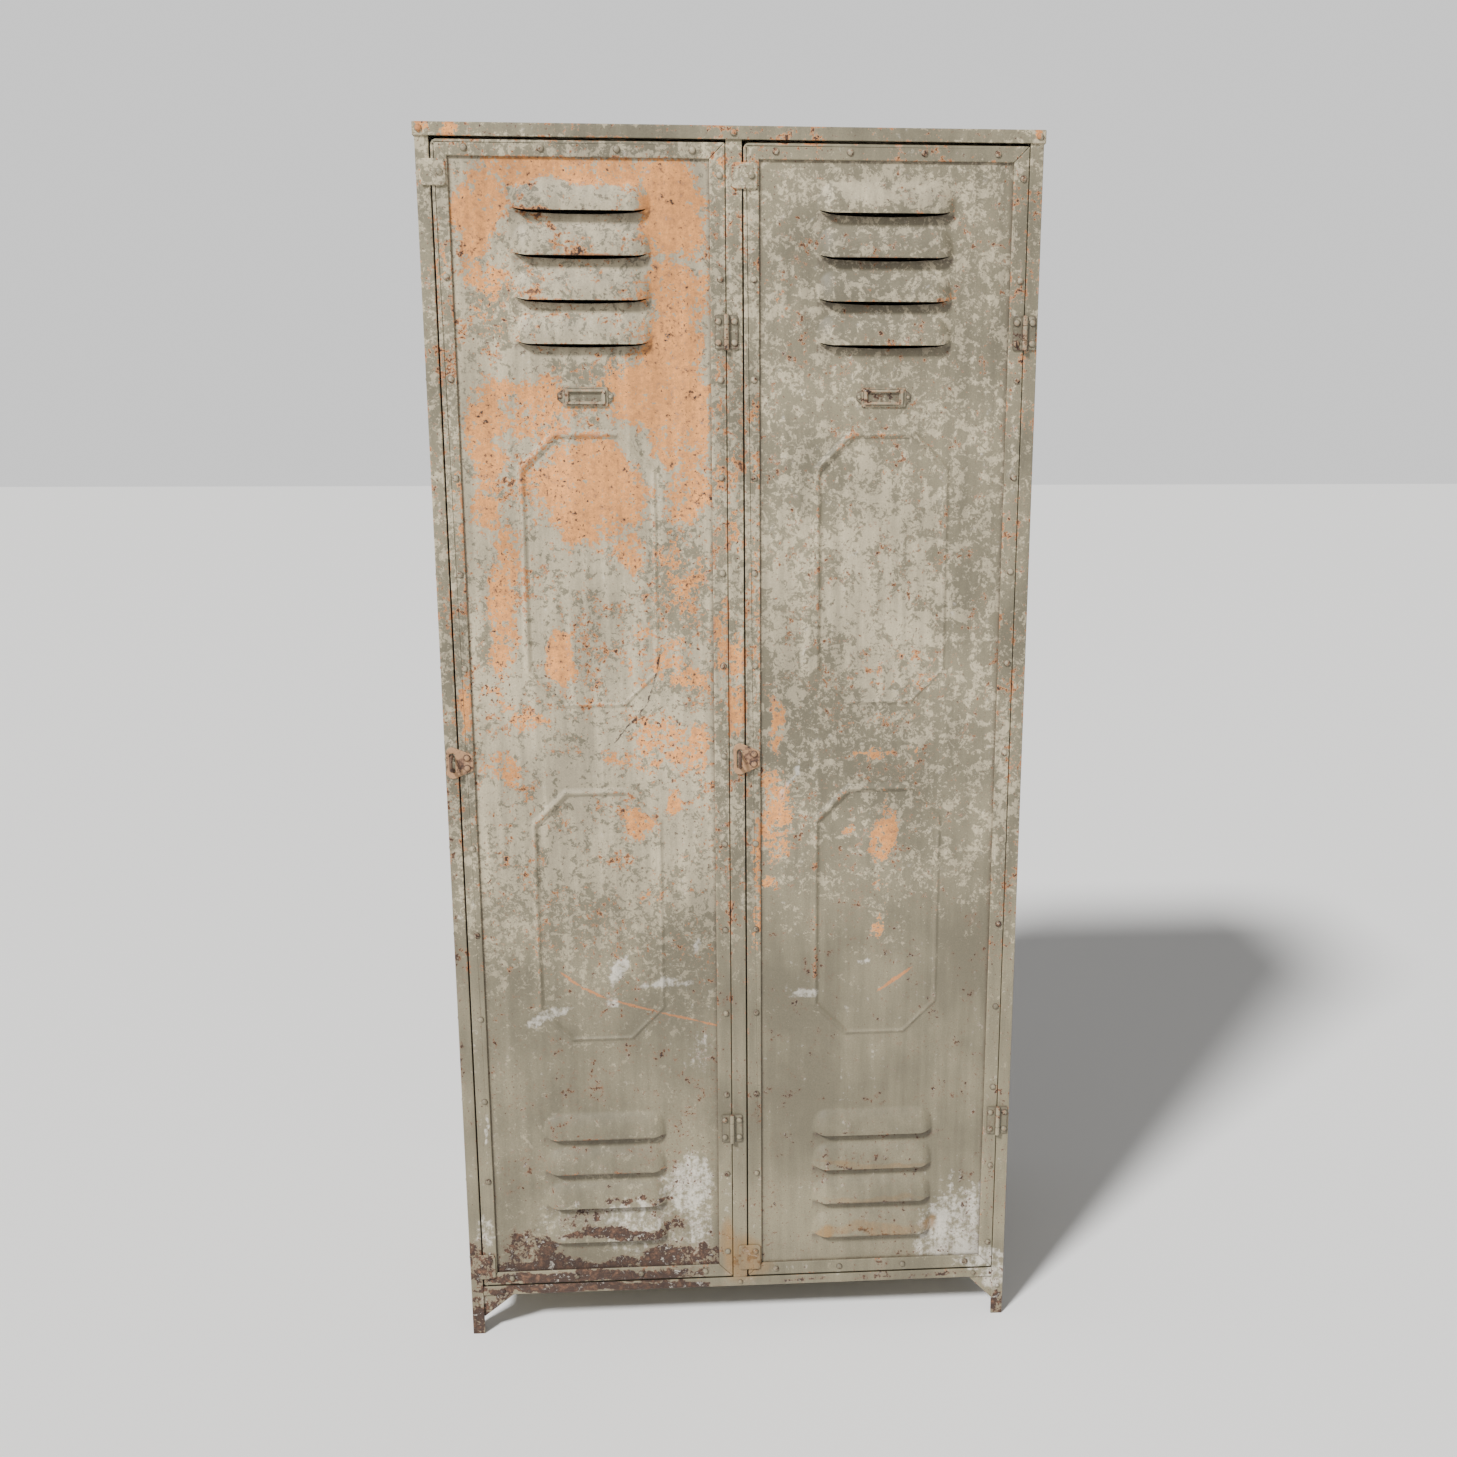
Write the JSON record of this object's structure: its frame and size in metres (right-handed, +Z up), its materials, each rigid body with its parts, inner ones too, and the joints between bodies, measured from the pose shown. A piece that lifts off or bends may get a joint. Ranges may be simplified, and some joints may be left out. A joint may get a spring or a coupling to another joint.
{
  "type": "locker cabinet",
  "caption": "Tall riveted steel locker cabinet with louvred doors side by side on butt hinges, padlock hasps, hat shelves and clothes rails, standing on short angle-iron legs.",
  "frame": {"origin": "on the floor, under the middle of the whole cabinet", "axes": "+Z up, front with the doors towards -Y, +X to the right as seen from the front"},
  "size_m": [0.85, 0.517, 1.8],
  "materials": {
    "painted_steel": "worn grey-green oil paint over an orange primer, matt, chipped and rusted along the edges",
    "rusted_steel": "brown rust with traces of paint",
    "bare_steel": "dull unpainted steel tube, lightly tarnished"
  },
  "bodies": {
    "carcass": {"front_left_post": "painted_steel", "front_right_post": "painted_steel", "rear_left_post": "painted_steel", "rear_right_post": "painted_steel", "centre_stile": "painted_steel", "top_band": "painted_steel", "top_panel": "painted_steel", "left_side_panel": "painted_steel", "right_side_panel": "painted_steel", "back_panel": "painted_steel", "centre_partition": "painted_steel", "floor_tray": "painted_steel", "front_bottom_rail": "painted_steel", "rear_bottom_rail": "painted_steel", "front_left_gusset": "painted_steel", "front_right_gusset": "painted_steel", "rear_left_gusset": "painted_steel", "rear_right_gusset": "painted_steel", "left_hat_shelf": "painted_steel", "right_hat_shelf": "painted_steel", "left_clothes_rail": "bare_steel", "right_clothes_rail": "bare_steel", "left_rail_outer_socket": "bare_steel", "left_rail_inner_socket": "bare_steel", "right_rail_outer_socket": "bare_steel", "right_rail_inner_socket": "bare_steel", "left_staple": "rusted_steel", "right_staple": "rusted_steel", "left_upper_hinge_frame_leaf": "painted_steel", "left_lower_hinge_frame_leaf": "painted_steel", "right_upper_hinge_frame_leaf": "painted_steel", "right_lower_hinge_frame_leaf": "painted_steel", "left_upper_hinge_pin": "rusted_steel", "left_lower_hinge_pin": "rusted_steel", "right_upper_hinge_pin": "rusted_steel", "right_lower_hinge_pin": "rusted_steel"},
    "left_door": {"left_door_panel": "painted_steel", "left_door_lock_bar": "painted_steel", "left_door_hinge_bar": "painted_steel", "left_door_top_bar": "painted_steel", "left_door_bottom_bar": "painted_steel", "left_door_label_holder": "painted_steel", "left_door_hasp": "rusted_steel", "left_door_top_stop_tab": "painted_steel", "left_door_bottom_stop_tab": "painted_steel", "left_upper_hinge_door_leaf": "painted_steel", "left_lower_hinge_door_leaf": "painted_steel"},
    "right_door": {"right_door_panel": "painted_steel", "right_door_lock_bar": "painted_steel", "right_door_hinge_bar": "painted_steel", "right_door_top_bar": "painted_steel", "right_door_bottom_bar": "painted_steel", "right_door_label_holder": "painted_steel", "right_door_hasp": "rusted_steel", "right_door_top_stop_tab": "painted_steel", "right_door_bottom_stop_tab": "painted_steel", "right_upper_hinge_door_leaf": "painted_steel", "right_lower_hinge_door_leaf": "painted_steel"}
  },
  "joints": [
    {"name": "left_door_hinge", "type": "hinge", "parent": "carcass", "child": "left_door", "pos_m": [-0.0115, -0.2435, 0.932], "axis": [0, 0, 1], "range_deg": [0, 130]},
    {"name": "right_door_hinge", "type": "hinge", "parent": "carcass", "child": "right_door", "pos_m": [0.4035, -0.2435, 0.932], "axis": [0, 0, 1], "range_deg": [0, 170]}
  ]
}
